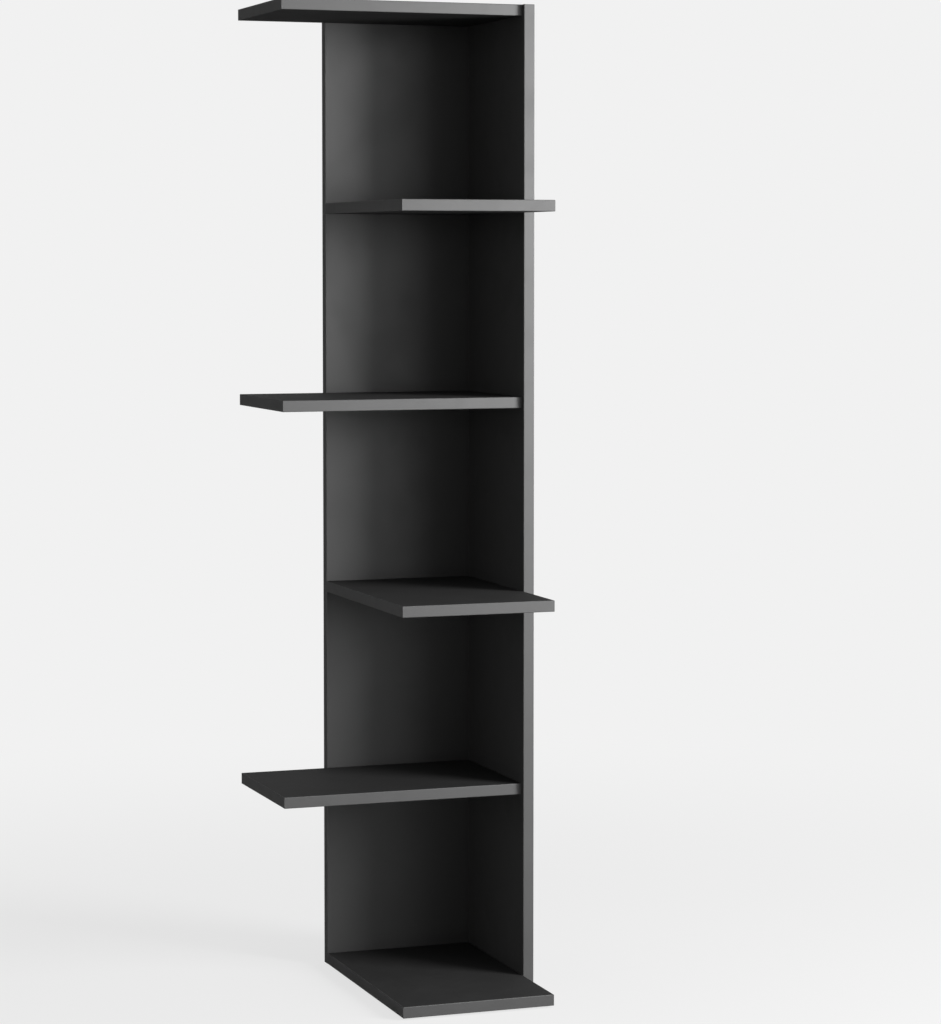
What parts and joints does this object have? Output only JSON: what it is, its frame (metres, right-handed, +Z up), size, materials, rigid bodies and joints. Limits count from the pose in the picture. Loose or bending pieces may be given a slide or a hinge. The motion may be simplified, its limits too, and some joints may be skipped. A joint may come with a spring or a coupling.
{
  "type": "corner shelf",
  "caption": "Tall open corner shelf: dark upright panels at a right angle carry equal boards that jut out by turns to the left and to the front.",
  "frame": {"origin": "on the floor, under the middle of the square plan that the boards and panels fill", "axes": "+Z up, +X to the right (side panel and side wall), +Y to the back panel and the back wall"},
  "size_m": [0.418, 0.418, 1.609],
  "materials": {
    "board": "satin black melamine on chipboard",
    "edge_band": "satin",
    "connecting_screw": "zinc plated",
    "dowel": "bare beech",
    "glide": "moulded",
    "wall_angle": "black powder coat",
    "angle_screw": "black zinc"
  },
  "bodies": {
    "root": {"back_panel": "board", "back_panel_dowels": "dowel", "back_panel_left_band": "edge_band", "back_panel_screws": "connecting_screw", "back_panel_top_band": "edge_band", "base_shelf": "board", "base_shelf_front_band": "edge_band", "base_shelf_left_band": "edge_band", "base_shelf_right_band": "edge_band", "corner_dowels": "dowel", "corner_screws": "connecting_screw", "floor_glides": "glide", "lower_front_shelf": "board", "lower_front_shelf_front_band": "edge_band", "lower_front_shelf_left_band": "edge_band", "lower_front_shelf_right_band": "edge_band", "lower_left_shelf": "board", "lower_left_shelf_front_band": "edge_band", "lower_left_shelf_left_band": "edge_band", "lower_left_shelf_rear_band": "edge_band", "middle_left_shelf": "board", "middle_left_shelf_front_band": "edge_band", "middle_left_shelf_left_band": "edge_band", "middle_left_shelf_rear_band": "edge_band", "side_panel": "board", "side_panel_dowels": "dowel", "side_panel_front_band": "edge_band", "side_panel_rear_band": "edge_band", "side_panel_screws": "connecting_screw", "side_panel_top_band": "edge_band", "top_shelf": "board", "top_shelf_front_band": "edge_band", "top_shelf_left_band": "edge_band", "top_shelf_rear_band": "edge_band", "upper_front_shelf": "board", "upper_front_shelf_front_band": "edge_band", "upper_front_shelf_left_band": "edge_band", "upper_front_shelf_right_band": "edge_band", "wall_angle_left": "wall_angle", "wall_angle_right": "wall_angle", "wall_angle_screws": "angle_screw"}
  },
  "joints": []
}
